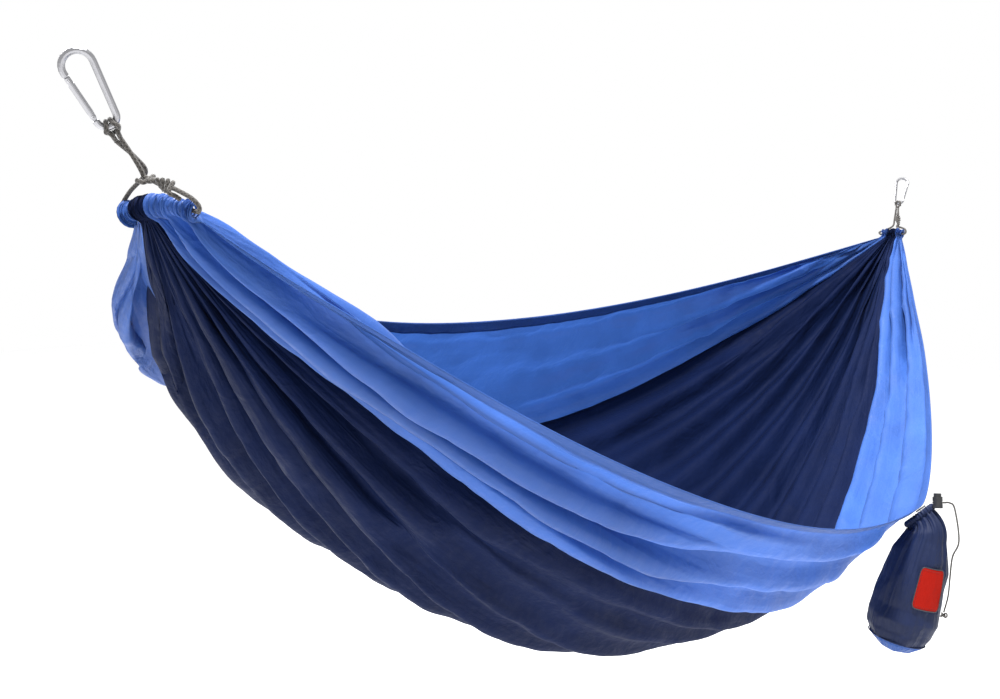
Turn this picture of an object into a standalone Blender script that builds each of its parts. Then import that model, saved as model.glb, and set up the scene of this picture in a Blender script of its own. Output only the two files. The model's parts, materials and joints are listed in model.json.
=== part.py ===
"""Camping hammock: three nylon panels gathered on a rope loop at each end, with two snap carabiners
and a stuff sack sewn to the front side hem.

Metres, +Z up. The origin is the head anchor: the point inside the head carabiner's crown where an
anchor strap bears. +X runs to the foot anchor, and the front (the stuff sack's side) faces -Y.
"""

import math

import bmesh
import bpy
from mathutils import Matrix, Vector

# Hanging span and suspension
ANCHOR_SPAN = 2.77
HEAD_PULL, FOOT_PULL = math.radians(56), math.radians(61)  # of the ropes above the horizontal
ROPE_DROP = 0.067  # from the carabiner's swing axis to the gather
ROPE_RADIUS = 0.0025
CHANNEL_RADIUS = 0.012  # the gathered channel, round the rope
CHANNEL_RISE = 0.17  # of its middle over its two mouths, as a share of half its width
HEAD_CHANNEL_WIDTH, FOOT_CHANNEL_WIDTH = 0.051, 0.026  # half of each, across the hammock
HEAD_CHANNEL_CENTRE, FOOT_CHANNEL_CENTRE = Vector((0.005, -0.024)), Vector((0.0, -0.020))
KNOT_LENGTH, KNOT_RADIUS = 0.032, 0.009
HEAD_KNOT_LEAN, FOOT_KNOT_LEAN = math.radians(24), math.radians(76)  # from the channel's line

# Fabric: mid-span places of the five lines along the hammock, as (y, z) from the gathers' line,
# from the back edge to the front one, and where each line lies on the flat fabric's width
CLOTH = 0.002
SEAM_GAP = 0.0005
MID_SECTION = tuple(
    Vector(p) for p in ((0.441, -0.216), (0.563, -0.501), (0.086, -0.815), (-0.201, -0.738), (-0.451, -0.513))
)
WIDTH_SHARES = (0.0, 0.21, 0.56, 0.78, 1.0)
BACK_SEAM, FRONT_SEAM = WIDTH_SHARES[1], WIDTH_SHARES[3]
# How each line sags from the head and from the foot: 1 is a V and 2 is a parabola
HEAD_SAGS = (2.1, 2.8, 2.15, 1.61, 2.3)
FOOT_SAGS = (2.1, 2.8, 2.15, 1.61, 1.3)
# Where each line meets the channel: 0 degrees is the front mouth and 180 the back one
HEAD_ANGLES = (180, 140, 118, 95, 0)
FOOT_ANGLES = (180, 118, 92, 68, 0)
ROWS, PANEL_COLUMNS = 32, 6

# Carabiner: a pear of bent wire, in its own plane (along the pull, across)
WIRE = 0.00375
LENGTH = 0.090
NARROW_BEND, WIDE_BEND = 0.0105, 0.0155
SWING_AXIS = -0.008  # where the rope bends, from the wire's outer end
HEAD_ROLL, FOOT_ROLL = math.radians(53), math.radians(15)
GATE_RADIUS = 0.0035
GATE_FROM, GATE_TO = 0.021, 0.066
PIN_RADIUS = 0.001
TANG, TANG_HEIGHT, SLOT = 0.0026, 0.0026, 0.0034  # the wire's flattened ends and the gate's slots
SPRING_BORE, SPRING_RADIUS, SPRING_WIRE = 0.0019, 0.0012, 0.00025
GAP = 0.0003  # between a pin and its hole

# Stuff sack, hung from the middle of the front hem. Its gathered mouth lies along the panel's
# outer face, and the sack bends down from there.
PANEL_SLOPE, PANEL_OUT = Vector((0, 0.743, -0.669)), Vector((0, -0.669, -0.743))
MOUTH_FROM_HEM = PANEL_SLOPE * 0.012 + PANEL_OUT * 0.0112 + Vector((-0.004, 0, 0))
MOUTH_HALF_SIZE = Vector((0.0150, 0.0270))  # along the hem, and down the panel's slope
HEM_RADIUS, HEM_OPENING = 0.0062, math.radians(24)
TAB_HALF_LENGTH, TAB_THICKNESS, TAB_ENDS = 0.018, 0.0024, (0.0005, 0.0085)  # ends down the slope
SACK_DOWN = Vector((-0.08, 0.22, -0.97)).normalized()
SACK_NECK, SACK_BEND = 0.009, 0.030  # the sack leaves its mouth straight, then turns to SACK_DOWN
SACK_PROFILE = (
    (0.0072, 0.0270), (0.018, 0.0305), (0.034, 0.0360), (0.055, 0.0425), (0.080, 0.0485),
    (0.115, 0.0545), (0.155, 0.0590), (0.190, 0.0605), (0.217, 0.0570), (0.236, 0.0465),
    (0.249, 0.0300), (0.255, 0.0120),
)  # (depth along the sack, radius)
MOUTH_FLATNESS, SACK_FLATNESS = 0.60, 0.92
BASE_RING = 8  # the profile point where the base panel starts
LABEL_DEPTHS, LABEL_FACING, LABEL_HALF_ANGLE = (0.085, 0.158), math.radians(231), 0.48
CORD_RADIUS = 0.0015
LOCK_DIRECTION = Vector((0.25, -0.93, 0.05)).normalized()
LOCK_RADIUS, LOCK_LENGTH, BUTTON_TRAVEL = 0.0085, 0.020, 0.004
LOCK_WALL, LOCK_FLOOR = 0.0016, 0.002
LOCK_SLOT_HALF_WIDTH = 0.0044
TAILS_APART = 0.0022  # from the middle to each tail, where they leave the lock
TAIL_FACING = Vector((-0.15, -0.99, 0)).normalized()

NAVY, BLUE = (0.015, 0.022, 0.065), (0.065, 0.18, 0.62)
ROPE_GREY, STEEL = (0.10, 0.09, 0.08), (0.62, 0.62, 0.64)
BLACK, RED = (0.01, 0.01, 0.01), (0.6, 0.03, 0.02)


def clear_scene():
    for obj in list(bpy.data.objects):
        bpy.data.objects.remove(obj)


def material(name, colour, roughness, metallic=0.0):
    made = bpy.data.materials.get(name) or bpy.data.materials.new(name)
    made.use_nodes = True
    shader = made.node_tree.nodes["Principled BSDF"]
    shader.inputs["Base Color"].default_value = (*colour, 1.0)
    shader.inputs["Roughness"].default_value = roughness
    shader.inputs["Metallic"].default_value = metallic
    return made


def add_object(name, mesh, look, parent=None):
    obj = bpy.data.objects.new(name, mesh)
    bpy.context.scene.collection.objects.link(obj)
    obj.data.materials.append(look)
    obj.parent = parent
    mesh.shade_smooth()
    mesh.set_sharp_from_angle(angle=math.radians(40))
    return obj


def add_mesh(name, points, faces, look, parent=None):
    mesh = bpy.data.meshes.new(name)
    mesh.from_pydata([tuple(p) for p in points], [], faces)
    mesh.validate()
    shape = bmesh.new()
    shape.from_mesh(mesh)
    bmesh.ops.recalc_face_normals(shape, faces=shape.faces)
    shape.to_mesh(mesh)
    shape.free()
    return add_object(name, mesh, look, parent)


def add_empty(name, matrix, parent=None):
    empty = bpy.data.objects.new(name, None)
    bpy.context.scene.collection.objects.link(empty)
    empty.parent = parent
    empty.matrix_local = matrix
    return empty


def frame(origin, x_axis, y_axis):
    """The matrix whose X and Y axes are these two, made square, at origin."""
    x = Vector(x_axis).normalized()
    z = x.cross(Vector(y_axis)).normalized()
    y = z.cross(x)
    rows = [[x[i], y[i], z[i], origin[i]] for i in range(3)]
    return Matrix([*rows, [0, 0, 0, 1]])


def smooth_line(knots, steps):
    """Points on a Catmull-Rom curve through the knots, steps to each stretch."""
    ends = [2 * knots[0] - knots[1], *knots, 2 * knots[-1] - knots[-2]]
    line = []
    for a, b, c, d in zip(ends, ends[1:], ends[2:], ends[3:]):
        for step in range(steps):
            t = step / steps
            line.append(
                0.5 * (2 * b + (c - a) * t + (2 * a - 5 * b + 4 * c - d) * t**2
                       + (3 * b - a - 3 * c + d) * t**3)
            )
    return [*line, knots[-1].copy()]


def rings_along(line, radius, sides):
    """A ring of points round each point of the line, carried along it without twist."""
    rings, side = [], None
    for i, point in enumerate(line):
        ahead = (line[min(i + 1, len(line) - 1)] - line[max(i - 1, 0)]).normalized()
        if side is None:
            side = ahead.orthogonal()
        side = (side - ahead * side.dot(ahead)).normalized()
        other = ahead.cross(side)
        turns = [2 * math.pi * k / sides for k in range(sides)]
        rings.append([point + radius * (side * math.cos(t) + other * math.sin(t)) for t in turns])
    return rings


def skin(first, rows, sides, flip=False):
    """The quads between rows of sides points each, numbered from first."""
    faces = []
    for row in range(rows - 1):
        for k in range(sides):
            a, b = first + row * sides + k, first + row * sides + (k + 1) % sides
            quad = (a, b, b + sides, a + sides)
            faces.append(quad[::-1] if flip else quad)
    return faces


def tube(name, line, radius, look, sides=8, parent=None):
    rings = rings_along(line, radius, sides)
    points = [p for ring in rings for p in ring]
    last = len(points) - sides
    caps = [tuple(range(sides))[::-1], tuple(range(last, last + sides))]
    return add_mesh(name, points, skin(0, len(rings), sides) + caps, look, parent)


def sleeve(name, line, bore, radius, look, sides=10, parent=None, bulge=0.0, bulges=1):
    """A tube with a bore along its line, fatter by bulge at each of its bulges."""
    inner, outer = rings_along(line, bore, sides), rings_along(line, radius, sides)
    for i, ring in enumerate(outer):
        more = 1 + bulge * abs(math.sin(math.pi * bulges * i / (len(line) - 1))) / radius
        outer[i] = [line[i] + (p - line[i]) * more for p in ring]
    points = [p for ring in inner + outer for p in ring]
    rows = len(line)
    faces = skin(0, rows, sides, flip=True) + skin(rows * sides, rows, sides)
    for row in (0, rows - 1):
        for k in range(sides):
            a, b = row * sides + k, row * sides + (k + 1) % sides
            faces.append((a, b, b + rows * sides, a + rows * sides))
    return add_mesh(name, points, faces, look, parent)


def cylinder(name, radius, start, end, look, parent=None, sides=16):
    return tube(name, [Vector(start), Vector(end)], radius, look, sides, parent)


def block(name, low, high, look, parent=None):
    """A box between two corners."""
    corners = [(x, y, z) for x in (low[0], high[0]) for y in (low[1], high[1]) for z in (low[2], high[2])]
    faces = [(0, 1, 3, 2), (4, 6, 7, 5), (0, 4, 5, 1), (2, 3, 7, 6), (0, 2, 6, 4), (1, 5, 7, 3)]
    return add_mesh(name, corners, faces, look, parent)


def boolean(obj, other, operation):
    """Joins other to obj or cuts it away, and keeps it only as a hidden helper."""
    other.hide_render = True
    other.display_type = "WIRE"
    step = obj.modifiers.new(f"{operation.lower()}_{other.name}", "BOOLEAN")
    step.operation = operation
    step.solver = "EXACT"
    step.object = other


def helix(radius, start, length, turns, points_a_turn=8):
    """Points of a coil along the local X axis."""
    line = []
    for i in range(turns * points_a_turn + 1):
        t = 2 * math.pi * i / points_a_turn
        x = start + length * i / (turns * points_a_turn)
        line.append(Vector((x, radius * math.cos(t), radius * math.sin(t))))
    return line


class End:
    """One end of the hammock: its anchor, the direction of its pull, and its gather."""

    def __init__(self, name, anchor, towards, pull, roll, width, centre, knot_lean):
        self.name, self.anchor = name, Vector(anchor)
        self.pull = Vector((towards * math.cos(pull), 0, math.sin(pull)))
        self.front = Vector((0, -1, 0))
        self.footward = self.pull.cross(self.front)
        self.width, self.centre, self.knot_lean = width, centre, knot_lean
        side = Vector((0, 1, 0))
        self.across = side * math.cos(roll) + self.pull.cross(side) * math.sin(roll)
        seat = LENGTH - 2 * WIRE
        self.swing = self.anchor + self.pull * (SWING_AXIS - seat)
        self.gather = self.swing - self.pull * ROPE_DROP

    def place(self, front, pull, footward=0.0):
        return self.gather + self.front * front + self.pull * pull + self.footward * footward

    def channel_point(self, degrees, below=0.0):
        """A point on the channel's low arch, or below it: 0 degrees is its front mouth and 180 its
        back one."""
        angle = math.radians(degrees)
        front = self.centre.x + self.width * math.cos(angle)
        return self.place(front, self.centre.y + CHANNEL_RISE * self.width * math.sin(angle) ** 2 - below)


HEAD = End(
    "head", (0, 0, 0), -1, HEAD_PULL, HEAD_ROLL, HEAD_CHANNEL_WIDTH, HEAD_CHANNEL_CENTRE, HEAD_KNOT_LEAN
)
FOOT = End(
    "foot", (ANCHOR_SPAN, 0, 0), 1, FOOT_PULL, FOOT_ROLL, FOOT_CHANNEL_WIDTH, FOOT_CHANNEL_CENTRE,
    FOOT_KNOT_LEAN,
)


def between_lines(values, at):
    """A value at a share of the width, on the smooth curve through those of the five lines."""
    last = len(WIDTH_SHARES) - 2
    i = next((k for k in range(last) if at <= WIDTH_SHARES[k + 1]), last)
    width = WIDTH_SHARES[i + 1] - WIDTH_SHARES[i]
    t = (at - WIDTH_SHARES[i]) / width
    slopes = []
    for k in (i, i + 1):
        low, high = max(k - 1, 0), min(k + 1, last + 1)
        slopes.append((values[high] - values[low]) / (WIDTH_SHARES[high] - WIDTH_SHARES[low]))
    return (
        values[i] * (1 + 2 * t) * (1 - t) ** 2 + slopes[0] * width * t * (1 - t) ** 2
        + values[i + 1] * t**2 * (3 - 2 * t) + slopes[1] * width * t**2 * (t - 1)
    )


def fabric_point(across, along):
    """A point of the hung fabric: across is 0 at the back edge and 1 at the front edge, and along
    is -1 at the head channel and 1 at the foot channel."""
    head = HEAD.channel_point(between_lines(HEAD_ANGLES, across), CHANNEL_RADIUS + 0.0022)
    foot = FOOT.channel_point(between_lines(FOOT_ANGLES, across), CHANNEL_RADIUS + 0.0022)
    mid = between_lines(MID_SECTION, across)
    power = between_lines(HEAD_SAGS if along < 0 else FOOT_SAGS, across)
    middle = head.lerp(foot, 0.5)
    sag = Vector((middle.x, mid.x, HEAD.gather.z + mid.y)) - middle
    return head.lerp(foot, (1 + along) / 2) + sag * (1 - abs(along) ** power)


def across_slope(across, along):
    """How far the fabric point moves for a step across the width."""
    step = 0.004
    low, high = max(across - step, 0), min(across + step, 1)
    return (fabric_point(high, along) - fabric_point(low, along)) / (high - low)


def panel(name, start, end, look):
    """A strip of the fabric between two shares of its width, as a closed shell that stops short of
    its seams by half the seam gap."""
    step = 0.004
    rows = []
    for i in range(ROWS + 1):
        along = -math.cos(math.pi * i / ROWS)
        low = start + (SEAM_GAP / 2 / across_slope(start, along).length if start > 0 else 0)
        high = end - (SEAM_GAP / 2 / across_slope(end, along).length if end < 1 else 0)
        row = []
        for k in range(PANEL_COLUMNS + 1):
            across = low + (high - low) * k / PANEL_COLUMNS
            ahead = fabric_point(across, min(along + step, 1)) - fabric_point(across, max(along - step, -1))
            row.append((fabric_point(across, along), ahead.cross(across_slope(across, along)).normalized()))
        rows.append(row)
    columns = PANEL_COLUMNS + 1
    loops = []
    for row in rows:
        upper = [p + n * CLOTH / 2 for p, n in row]
        lower = [p - n * CLOTH / 2 for p, n in row]
        loops.append(upper + lower[::-1])
    points = [p for loop in loops for p in loop]
    sides = 2 * columns
    last = len(points) - sides
    caps = []
    for first, turn in ((0, -1), (last, 1)):
        for k in range(columns - 1):
            quad = (first + k, first + k + 1, first + sides - 2 - k, first + sides - 1 - k)
            caps.append(quad[::turn])
    triangles = []
    for i, (a, b, c, d) in enumerate(skin(0, len(loops), sides)):
        if i % sides < columns:
            triangles += [(a, b, c), (a, c, d)]
        else:  # the lower layer is cut along the same diagonals as the upper one
            triangles += [(b, c, d), (b, d, a)]
    return add_mesh(name, points, triangles + caps, look)


def panels():
    blue, navy = material("side_nylon", BLUE, 0.5), material("centre_nylon", NAVY, 0.5)
    panel("back_side_panel", 0, BACK_SEAM, blue)
    panel("centre_panel", BACK_SEAM, FRONT_SEAM, navy)
    panel("front_side_panel", FRONT_SEAM, 1, blue)


def suspension(end):
    """The rope loop through the gathered channel, its joining knot, and the channel itself."""
    rope, blue = material("rope", ROPE_GREY, 0.85), material("side_nylon", BLUE, 0.5)
    start = end.swing - end.pull * 0.0060
    spread = end.across * 0.0027 * (1 if end.across.dot(end.front) > 0 else -1)
    channel = [end.channel_point(degrees) for degrees in range(0, 181, 15)]
    mouth, back = Vector((end.centre.x + end.width, end.centre.y)), end.centre.x - end.width
    knot_end = end.place(mouth.x - 0.014, mouth.y + 0.028)
    along_knot = end.pull * math.sin(end.knot_lean) - end.front * math.cos(end.knot_lean)
    knot_start = knot_end + along_knot * KNOT_LENGTH
    turn = ((0.0055, 0.0160), (0.0108, 0.006), (0.0062, -0.0008))  # out of and above a mouth
    into_mouth = [end.place(mouth.x + out, mouth.y + up) for out, up in turn]
    out_of_back = [end.place(back - out, mouth.y + up) for out, up in turn[:0:-1]]
    in_knot = [knot_start.lerp(knot_end, share) for share in (-0.16, 0.0, 0.5, 1.0, 1.14)]
    to_knot = [start.lerp(in_knot[0], share) + spread * (1 - share ** 3) for share in (0.0, 0.4, 0.7, 0.88)]
    knots = [*to_knot, *in_knot, *into_mouth]
    beside_knot = ((back + 0.004, mouth.y + 0.020, 0.010), (-0.0075, 0.015, 0.0150), (-0.006, 0.034, 0.0125))
    to_start = [*out_of_back, *(end.place(*spot) for spot in beside_knot), start - spread]
    line = smooth_line(knots, 2) + channel + smooth_line(to_start, 2)
    tube(f"{end.name}_rope", line, ROPE_RADIUS, rope, 6)
    bore = ROPE_RADIUS + 0.0012
    knot_line = [knot_start.lerp(knot_end, 0.04 + 0.92 * i / 8) for i in range(9)]
    sleeve(f"{end.name}_rope_knot", knot_line, bore, KNOT_RADIUS - 0.002, rope, 8, bulge=0.002, bulges=4)
    sleeve(f"{end.name}_rope_channel", channel, bore, CHANNEL_RADIUS - 0.001, blue, 8, bulge=0.001, bulges=6)


def pear_line():
    """The wire's centreline, from the gate's nose over the crown and back to the gate's pivot,
    and the straight side's start and direction, in the carabiner's plane."""
    narrow, wide = Vector((WIRE + NARROW_BEND, 0)), Vector((LENGTH - WIRE - WIDE_BEND, 0))
    tilt = math.asin((WIDE_BEND - NARROW_BEND) / (wide.x - narrow.x))
    outward = Vector((-math.sin(tilt), math.cos(tilt)))
    side_start, side_end = narrow + outward * NARROW_BEND, wide + outward * WIDE_BEND
    direction = (side_end - side_start).normalized()
    crown = [wide + WIDE_BEND * Vector((math.cos(a), math.sin(a)))
             for a in (math.pi / 2 + tilt - (math.pi + 2 * tilt) * i / 14 for i in range(15))]
    foot = [narrow + NARROW_BEND * Vector((math.cos(a), math.sin(a)))
            for a in (-math.pi / 2 - tilt - (math.pi - 2 * tilt) * i / 12 for i in range(13))]
    return side_start, direction, crown, foot


def slab(name, start, stop, low, high, thickness, look, parent):
    """A plate across the gate: start and stop along it, low and high across, in its middle plane."""
    return block(name, (start, low, -thickness / 2), (stop, high, thickness / 2), look, parent)


def shape_wire_ends(end, wire, pivot, steel):
    """The wire's two flat tongues, the notch that the latch pin drops into, and the pivot's hole."""
    reach, notch_thickness = GATE_TO - GATE_FROM, 0.004
    tongues = (("pivot_tang", -0.0075, 0.0020), ("nose_tang", reach - 0.0070, reach + 0.004))
    for name, start, stop in tongues:
        tongue = slab(f"{end.name}_{name}", start, stop, -TANG_HEIGHT, TANG_HEIGHT, TANG, steel, pivot)
        boolean(wire, tongue, "UNION")
    name, top = f"{end.name}_notch", PIN_RADIUS + GAP
    notch = slab(name, reach - 0.0052, reach - 0.0024, -0.004, top, notch_thickness, steel, pivot)
    boolean(wire, notch, "DIFFERENCE")
    name = f"{end.name}_pin_hole"
    hole = cylinder(name, PIN_RADIUS + GAP, (0, 0, -TANG), (0, 0, TANG), steel, pivot)
    boolean(wire, hole, "DIFFERENCE")


def gate_parts(end, pivot, steel):
    """The gate with its slots and bores, its two pins, and the spring and plunger that close it."""
    reach, half_height = GATE_TO - GATE_FROM, 0.005
    gate = cylinder(f"{end.name}_gate", GATE_RADIUS, (-0.0022, 0, 0), (reach - 0.0008, 0, 0), steel, pivot)
    slots = (("pivot_slot", -0.004, 0.0034), ("nose_slot", reach - 0.0080, reach + 0.002))
    for name, start, stop in slots:
        slot = slab(f"{end.name}_{name}", start, stop, -half_height, half_height, SLOT, steel, pivot)
        boolean(gate, slot, "DIFFERENCE")
    name = f"{end.name}_spring_bore"
    boolean(gate, cylinder(name, SPRING_BORE, (0.003, 0, 0), (0.0210, 0, 0), steel, pivot), "DIFFERENCE")
    pin_half = GATE_RADIUS - 0.0001
    for name, at in (("pivot", 0.0), ("latch", reach - 0.0038)):
        ends = (at, 0, -half_height), (at, 0, half_height)
        hole = cylinder(f"{end.name}_{name}_hole", PIN_RADIUS + GAP, *ends, steel, pivot)
        boolean(gate, hole, "DIFFERENCE")
        ends = (at, 0, -pin_half), (at, 0, pin_half)
        cylinder(f"{end.name}_{name}_pin", PIN_RADIUS, *ends, steel, pivot, 10)
    cylinder(f"{end.name}_gate_plunger", 0.0015, (0.0035, 0, 0), (0.0078, 0, 0), steel, pivot, 12)
    coil = helix(SPRING_RADIUS, start=0.0084, length=0.0118, turns=8)
    tube(f"{end.name}_gate_spring", coil, SPRING_WIRE, steel, 4, pivot)


def carabiner(end, gate_side):
    """The wire body, its gate with spring, plunger and pins, and the rope's hitch."""
    steel, rope = material("steel", STEEL, 0.3, 1.0), material("rope", ROPE_GREY, 0.85)
    swing = add_empty(f"{end.name}_swing", frame(end.swing, end.pull, end.across * gate_side))
    place = add_empty(f"{end.name}_place", Matrix.Translation((-SWING_AXIS, 0, 0)), swing)
    side_start, direction, crown, bend = pear_line()

    def side(distance, off=0.0):
        """A point along the gate's side, in the carabiner's plane."""
        return side_start + direction * distance + Vector((-direction.y, direction.x)) * off

    nose = side(GATE_TO + 0.0012 - side_start.x)
    stump = side(GATE_FROM - 0.0056 - side_start.x)
    path = [nose, *crown, *bend, stump]
    wire = tube(f"{end.name}_carabiner", [Vector((*p, 0)) for p in path], WIRE, steel, 12, place)

    place_of_gate = Vector((*side(GATE_FROM - side_start.x), 0))
    gate_frame = frame(place_of_gate, (*direction, 0), (-direction.y, direction.x, 0))
    pivot = add_empty(f"{end.name}_gate_pivot", gate_frame, place)
    shape_wire_ends(end, wire, pivot, steel)
    gate_parts(end, pivot, steel)

    narrow = WIRE + NARROW_BEND
    hitch_line = [
        Vector((narrow - NARROW_BEND * math.cos(a), NARROW_BEND * math.sin(a), 0))
        for a in (math.radians(-29 + 58 * i / 8) for i in range(9))
    ]
    hitch = sleeve(f"{end.name}_hitch", hitch_line, WIRE + 0.0004, WIRE + 0.0046, rope, 14, place)
    barrel_ends = (SWING_AXIS, -0.0052, 0), (SWING_AXIS, 0.0052, 0)
    barrel = cylinder(f"{end.name}_barrel", 0.004, *barrel_ends, rope, place)
    boolean(hitch, barrel, "UNION")


HEM_MIDDLE = fabric_point(1, 0)
MOUTH = HEM_MIDDLE + MOUTH_FROM_HEM


def sack_axis(depth):
    """The sack's centre and its downward direction at a depth along it."""
    bent = min(max(depth - SACK_NECK, 0), SACK_BEND)
    down = PANEL_OUT.lerp(SACK_DOWN, bent / SACK_BEND).normalized()
    straight, turned_by = min(depth, SACK_NECK), bent * bent / (2 * SACK_BEND)
    below = depth - straight - bent
    return MOUTH + PANEL_OUT * (straight + bent - turned_by) + SACK_DOWN * (turned_by + below), down


def sack_ring(depth, radius, angles):
    """Points round the sack: angle 0 faces the foot end, and 270 degrees the front."""
    centre, down = sack_axis(depth)
    other = Vector((1, 0, 0)).cross(down).normalized()
    side = down.cross(other)
    flatness = MOUTH_FLATNESS + (SACK_FLATNESS - MOUTH_FLATNESS) * min(depth / SACK_BEND, 1)
    return [centre + radius * (side * math.cos(a) * flatness + other * math.sin(a)) for a in angles]


def turned(name, profile, look, parent, sides=24):
    """A closed shape of rings, capped by its first and last ones."""
    angles = [2 * math.pi * k / sides for k in range(sides)]
    points = [p for depth, radius in profile for p in sack_ring(depth, radius, angles)]
    last = len(points) - sides
    caps = [tuple(range(sides))[::-1], tuple(range(last, last + sides))]
    return add_mesh(name, points, skin(0, len(profile), sides) + caps, look, parent)


def profile_radius(depth):
    for (d0, r0), (d1, r1) in zip(SACK_PROFILE, SACK_PROFILE[1:]):
        if d0 <= depth <= d1:
            return r0 + (r1 - r0) * (depth - d0) / (d1 - d0)
    return SACK_PROFILE[-1][1]


def label(parent, look):
    """A woven patch that follows the sack's side."""
    columns, rows = 8, 8
    loops = []
    for i in range(rows + 1):
        depth = LABEL_DEPTHS[0] + (LABEL_DEPTHS[1] - LABEL_DEPTHS[0]) * i / rows
        angles = [LABEL_FACING + LABEL_HALF_ANGLE * (2 * k / columns - 1) for k in range(columns + 1)]
        inner = sack_ring(depth, profile_radius(depth) + 0.0008, angles)
        outer = sack_ring(depth, profile_radius(depth) + 0.0020, angles)
        loops.append(inner + outer[::-1])
    points = [p for loop in loops for p in loop]
    sides, last = 2 * (columns + 1), len(points) - 2 * (columns + 1)
    caps = []
    for first, turn in ((0, -1), (last, 1)):
        for k in range(columns):
            quad = (first + k, first + k + 1, first + sides - 2 - k, first + sides - 1 - k)
            caps.append(quad[::turn])
    add_mesh("sack_label", points, skin(0, len(loops), sides) + caps, look, parent)


def beside_sack(depth, clear):
    """A point level with a depth of the sack, clear of its side, where the cord tails hang."""
    return sack_axis(depth)[0] + TAIL_FACING * (profile_radius(depth) + clear)


def tail_line(side, start, direction):
    """One of the drawcord's two tails, from the lock's slot out, over and down to the end knot."""
    apart = direction.cross(-PANEL_OUT).normalized() * side * TAILS_APART
    knots = [
        *[start + apart + direction * reach for reach in (0, 0.010, 0.020, 0.028)],
        start + apart * 1.3 + direction * 0.037 + Vector((0, 0, -0.010)),
        beside_sack(0.040, 0.020) + apart * 1.8,
        beside_sack(0.070, 0.009) + apart * 2.2,
        beside_sack(0.105, 0.008) + apart * 1.8,
        beside_sack(0.140, 0.010) + apart * 1.2,
        beside_sack(0.170, 0.0085) + apart * 0.9,
    ]
    return smooth_line(knots, 3)


def add_cord(name, line, radius, look, parent):
    """A cord as a curve with a round bevel and filled caps."""
    data = bpy.data.curves.new(name, "CURVE")
    data.dimensions = "3D"
    data.bevel_depth, data.bevel_resolution, data.use_fill_caps = radius, 2, True
    spline = data.splines.new("POLY")
    spline.points.add(len(line) - 1)
    for spot, point in zip(spline.points, line):
        spot.co = (*point, 1)
    obj = bpy.data.objects.new(name, data)
    bpy.context.scene.collection.objects.link(obj)
    data.materials.append(look)
    obj.parent = parent
    return obj


def stuff_sack():
    navy, blue = material("centre_nylon", NAVY, 0.5), material("side_nylon", BLUE, 0.5)
    rope, black = material("rope", ROPE_GREY, 0.85), material("lock_plastic", BLACK, 0.4)
    hinge = HEM_MIDDLE + PANEL_OUT * (CLOTH / 2 + 0.0006)
    swing = add_empty("sack_swing", Matrix.Translation(hinge))
    inner = add_empty("sack_place", Matrix.Translation(-hinge), swing)
    turned("stuff_sack", SACK_PROFILE[:BASE_RING + 1], navy, inner)
    base_start, base_radius = SACK_PROFILE[BASE_RING]
    turned("sack_base", [(base_start + 0.0006, base_radius), *SACK_PROFILE[BASE_RING + 1:]], blue, inner)
    label(inner, material("label", RED, 0.6))

    ring = []
    for i in range(17):
        a = HEM_OPENING + (2 * math.pi - 2 * HEM_OPENING) * i / 16
        along_hem, down_slope = MOUTH_HALF_SIZE.x * math.sin(a), -MOUTH_HALF_SIZE.y * math.cos(a)
        ring.append(MOUTH + Vector((along_hem, 0, 0)) + PANEL_SLOPE * down_slope)
    sleeve("sack_mouth_hem", ring, CORD_RADIUS + 0.0008, HEM_RADIUS - 0.0008, navy, 8, inner, 0.0012, 8)
    tube("mouth_drawcord", ring[1:-1], CORD_RADIUS, rope, 8, inner)
    hang = add_empty("tab_place", frame(hinge, (1, 0, 0), PANEL_OUT), inner)
    tab_start, tab_end = (-TAB_HALF_LENGTH, 0, TAB_ENDS[0]), (TAB_HALF_LENGTH, TAB_THICKNESS, TAB_ENDS[1])
    block("sack_tab", tab_start, tab_end, black, hang)

    lock_at = MOUTH - PANEL_SLOPE * (MOUTH_HALF_SIZE.y + HEM_RADIUS + 0.0065)
    slide = add_empty("lock_slide", frame(lock_at, LOCK_DIRECTION, -PANEL_OUT), inner)
    cord_lock(slide, black, material("steel", STEEL, 0.3, 1.0))
    start = lock_at - LOCK_DIRECTION * 0.0088
    for name, side in (("front", 1), ("back", -1)):
        add_cord(f"drawcord_tail_{name}", tail_line(side, start, LOCK_DIRECTION), CORD_RADIUS, rope, inner)
    ends = [tail_line(side, start, LOCK_DIRECTION)[-1] for side in (1, -1)]
    middle = (ends[0] + ends[1]) / 2
    profile = ((0.0012, 0.0028), (0.0033, 0.0052), (0.0068, 0.0062), (0.0103, 0.0050), (0.0128, 0.0028))
    points, sides = [], 12
    for depth, radius in profile:
        for k in range(sides):
            a = 2 * math.pi * k / sides
            points.append(middle + Vector((radius * math.cos(a), radius * math.sin(a), -depth)))
    caps = [tuple(range(sides)), tuple(range(len(points) - sides, len(points)))]
    add_mesh("drawcord_knot", points, skin(0, len(profile), sides) + caps, rope, inner)


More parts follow.
